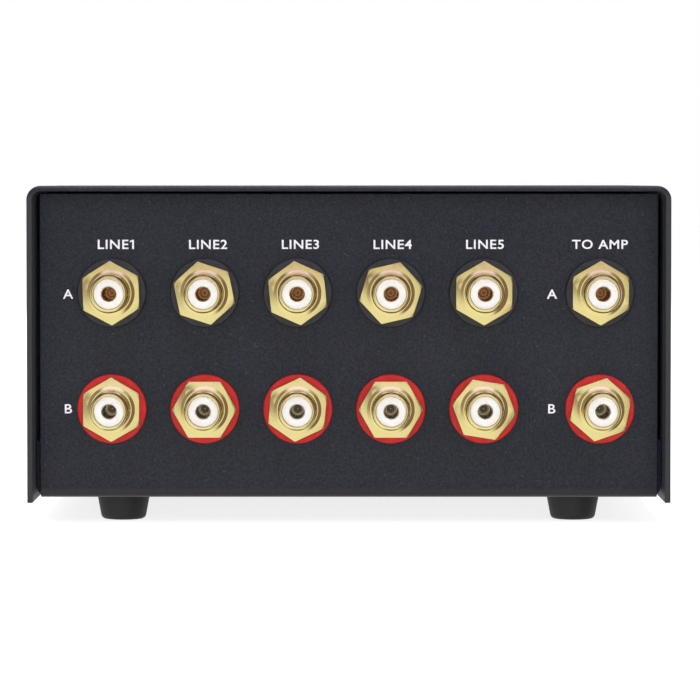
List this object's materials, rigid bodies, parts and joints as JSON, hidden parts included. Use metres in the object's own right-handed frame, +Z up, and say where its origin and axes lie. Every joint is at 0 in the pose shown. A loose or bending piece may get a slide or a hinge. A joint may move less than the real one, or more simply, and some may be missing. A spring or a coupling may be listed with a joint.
{
  "type": "audio source selector",
  "caption": "Small black steel box with gold phono sockets in two rows at the back and one rotary selector knob at the front.",
  "frame": {"origin": "on the surface under the feet, below the middle of the whole object", "axes": "+Z up, +Y out of the wall with the sockets, -Y out of the wall with the knob, +X to the left as seen from behind"},
  "size_m": [0.138, 0.1352, 0.0728],
  "materials": {
    "black_steel": "fine textured powder coat",
    "black_screw": "black oxide",
    "foot_rubber": "matte",
    "gold_brass": "gold plated",
    "white_insulator": "moulded",
    "white_print": "screen printed",
    "black_washer": "moulded",
    "red_washer": "moulded",
    "circuit_board": "lacquered",
    "connector_plastic": "moulded",
    "ribbon_pvc": "flexible",
    "die_cast": "plated",
    "switch_plastic": "moulded",
    "contact_plate": "tin plated",
    "spring_steel": "bright",
    "plated_steel": "nickel plated",
    "knob_aluminium": "satin turned",
    "pointer_enamel": "filled line"
  },
  "bodies": {
    "root": {"chassis_tray": "black_steel", "top_cover": "black_steel", "cover_screws": "black_screw", "rubber_feet": "foot_rubber", "left_channel_sockets": "gold_brass", "right_channel_sockets": "gold_brass", "socket_insulators": "white_insulator", "socket_contacts": "contact_plate", "black_washers": "black_washer", "red_washers": "red_washer", "jack_board": "circuit_board", "jack_board_header": "connector_plastic", "rear_ribbon_plug": "connector_plastic", "ribbon_cable": "ribbon_pvc", "front_ribbon_plug": "connector_plastic", "switch_board_header": "connector_plastic", "switch_board": "circuit_board", "switch_bushing": "die_cast", "switch_housing": "switch_plastic", "switch_wafer": "switch_plastic", "input_contacts": "contact_plate", "common_tracks": "contact_plate", "detent_leaf": "spring_steel", "switch_nut": "plated_steel"},
    "selector": {"selector_shaft": "plated_steel", "detent_star": "spring_steel", "wiper_carrier": "switch_plastic", "wipers": "contact_plate", "knob": "knob_aluminium", "pointer_inlay": "pointer_enamel", "grub_screw": "black_screw"}
  },
  "joints": [
    {"name": "selector_turn", "type": "hinge", "parent": "root", "child": "selector", "pos_m": [0, -0.0506, 0.03835], "axis": [0, 1, 0], "range_deg": [-60, 60]}
  ]
}
